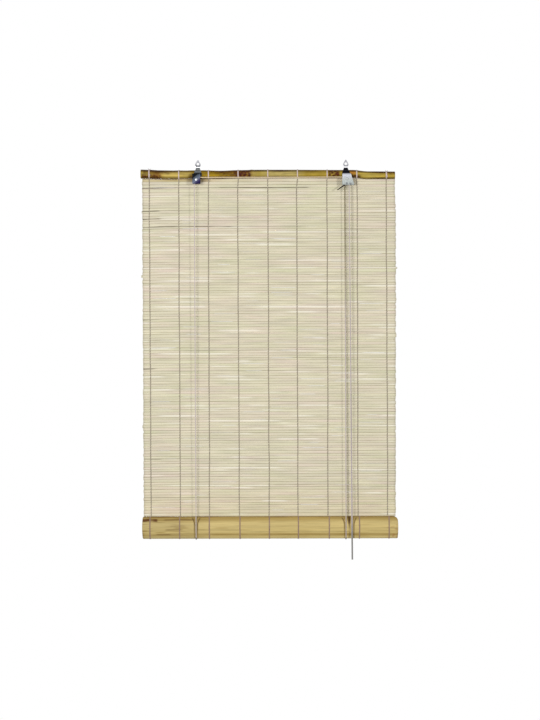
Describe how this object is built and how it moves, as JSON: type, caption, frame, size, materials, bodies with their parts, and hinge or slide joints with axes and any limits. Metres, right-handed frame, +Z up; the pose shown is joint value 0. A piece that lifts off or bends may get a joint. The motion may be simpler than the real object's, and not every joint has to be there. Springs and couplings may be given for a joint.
{
  "type": "bamboo roll-up blind",
  "caption": "Roll-up window blind of woven bamboo slats with a bamboo head pole, a bamboo bottom rail, two hanging brackets, lift cords and a cord lock.",
  "frame": {"origin": "midway between the centres of the two hanging eye holes", "axes": "+Z up, +X to the right as seen from the front, the front faces -Y"},
  "size_m": [0.603, 0.0414, 0.9389],
  "materials": {
    "pole_bamboo": "satin",
    "slat_bamboo": "matt",
    "rail_bamboo": "satin",
    "string": "matt",
    "cord": "matt",
    "steel": "satin",
    "dark_steel": "satin",
    "bright_steel": "satin",
    "wheel_plastic": "matt"
  },
  "bodies": {
    "head": {"head_pole": "pole_bamboo", "slat_mat": "slat_bamboo", "head_tie_1": "string", "head_tie_2": "string", "head_tie_3": "string", "head_tie_4": "string", "head_tie_5": "string", "head_tie_6": "string", "head_tie_7": "string", "head_tie_8": "string", "head_tie_9": "string", "warp_string_1": "string", "warp_string_2": "string", "warp_string_3": "string", "warp_string_4": "string", "warp_string_5": "string", "warp_string_6": "string", "warp_string_7": "string", "warp_string_8": "string", "warp_string_9": "string", "left_hanger_strap": "steel", "right_hanger_strap": "steel", "left_axle_rivet": "steel", "right_axle_rivet": "steel", "lock_pawl_rivet": "steel", "lock_guide_pin": "steel", "left_pulley_housing": "dark_steel", "right_lock_housing": "bright_steel", "left_cord_knot": "cord", "left_cord_back_run": "cord", "left_cord_front_run": "cord", "left_cord_cross_run": "cord", "left_cord_pull_strand": "cord", "right_cord_knot": "cord", "right_cord_back_run": "cord", "right_cord_front_run": "cord", "right_cord_wheel_wrap": "cord", "right_cord_pull_strand": "cord"},
    "rail": {"bottom_rail": "rail_bamboo", "rail_tie_1": "string", "rail_tie_2": "string", "rail_tie_3": "string", "rail_tie_4": "string", "rail_tie_5": "string", "rail_tie_6": "string", "rail_tie_7": "string", "rail_tie_8": "string", "rail_tie_9": "string", "left_cord_rail_loop": "cord", "right_cord_rail_loop": "cord"},
    "left_wheel": {"left_cord_wheel": "wheel_plastic"},
    "right_wheel": {"right_cord_wheel": "wheel_plastic"},
    "pawl": {"lock_pawl": "dark_steel"}
  },
  "joints": [
    {"name": "rail_lift", "type": "slide", "parent": "head", "child": "rail", "axis": [0, 0, 1], "range_m": [0, 0.7], "deforming": ["slat_mat", "warp_string_1", "warp_string_2", "warp_string_3", "warp_string_4", "warp_string_5", "warp_string_6", "warp_string_7", "warp_string_8", "warp_string_9", "left_cord_back_run", "right_cord_back_run", "left_cord_front_run", "right_cord_front_run"]},
    {"name": "left_wheel_turn", "type": "hinge", "parent": "head", "child": "left_wheel", "pos_m": [-0.177, -0.0162, -0.038], "axis": [0, 1, 0], "range_deg": [0, 16050]},
    {"name": "right_wheel_turn", "type": "hinge", "parent": "head", "child": "right_wheel", "pos_m": [0.176, -0.0162, -0.038], "axis": [0, 1, 0], "range_deg": [0, 16050]},
    {"name": "lock_pawl_turn", "type": "hinge", "parent": "head", "child": "pawl", "pos_m": [0.1755, -0.0162, -0.0479], "axis": [0, 1, 0], "range_deg": [0, 25]}
  ],
  "couplings": [
    {"joint": "left_wheel_turn", "follows": "rail_lift", "rad_per_m": 400},
    {"joint": "right_wheel_turn", "follows": "rail_lift", "rad_per_m": 400}
  ]
}
